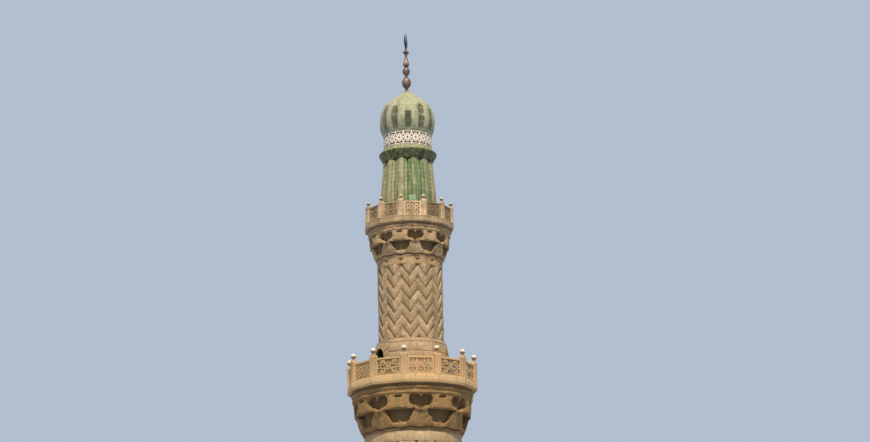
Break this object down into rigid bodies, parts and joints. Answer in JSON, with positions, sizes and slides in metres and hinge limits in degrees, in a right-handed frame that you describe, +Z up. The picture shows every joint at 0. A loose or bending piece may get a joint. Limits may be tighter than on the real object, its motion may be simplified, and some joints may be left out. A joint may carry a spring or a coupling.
{
  "type": "minaret",
  "caption": "Free-standing masonry minaret: square base, round shafts with two corbelled pierced balconies, and a ribbed tiled drum under a lobed bulb and finial.",
  "frame": {"origin": "centre of the tower's foot at ground level, on the underside of its floor", "axes": "+Z up the tower, -Y towards its front, +X to the right seen from the front"},
  "size_m": [5.12, 5.12, 31.5521],
  "materials": {
    "ashlar": "weathered tan limestone ashlar",
    "carved_stone": "carved tan limestone",
    "parapet_stone": "newer warm tan stone",
    "green_tile": "weathered glaze",
    "dark_tile": "dark glaze",
    "cream_band": "cream strapwork on dark brown",
    "aged_copper": "dark brown patina"
  },
  "bodies": {
    "root": {"base_floor": "ashlar", "base_shoulder": "ashlar", "base_wall_front": "ashlar", "base_wall_left": "ashlar", "base_wall_rear_left": "ashlar", "base_wall_rear_over_door": "ashlar", "base_wall_rear_right": "ashlar", "base_wall_right": "ashlar", "bulb": "green_tile", "drum_a": "green_tile", "drum_b": "green_tile", "drum_c": "green_tile", "drum_d": "green_tile", "drum_over_door": "green_tile", "drum_ring_cornice": "dark_tile", "finial_crescent": "aged_copper", "finial_spire": "aged_copper", "first_shaft": "carved_stone", "lower_balcony_slab": "parapet_stone", "lower_corbel": "carved_stone", "lower_parapet_side_01": "parapet_stone", "lower_parapet_side_02": "parapet_stone", "lower_parapet_side_03": "parapet_stone", "lower_parapet_side_04": "parapet_stone", "lower_parapet_side_05": "parapet_stone", "lower_parapet_side_06": "parapet_stone", "lower_parapet_side_07": "parapet_stone", "lower_parapet_side_08": "parapet_stone", "lower_parapet_side_09": "parapet_stone", "lower_parapet_side_10": "parapet_stone", "lower_parapet_side_11": "parapet_stone", "lower_parapet_side_12": "parapet_stone", "neck_band": "cream_band", "second_shaft": "carved_stone", "shaft_plinth_a": "ashlar", "shaft_plinth_b": "ashlar", "shaft_plinth_c": "ashlar", "shaft_plinth_d": "ashlar", "shaft_plinth_over_door": "ashlar", "upper_balcony_slab": "parapet_stone", "upper_corbel": "carved_stone", "upper_parapet_side_01": "parapet_stone", "upper_parapet_side_02": "parapet_stone", "upper_parapet_side_03": "parapet_stone", "upper_parapet_side_04": "parapet_stone", "upper_parapet_side_05": "parapet_stone", "upper_parapet_side_06": "parapet_stone", "upper_parapet_side_07": "parapet_stone", "upper_parapet_side_08": "parapet_stone", "upper_parapet_side_09": "parapet_stone", "upper_parapet_side_10": "parapet_stone", "upper_parapet_side_11": "parapet_stone", "upper_parapet_side_12": "parapet_stone"}
  },
  "joints": []
}
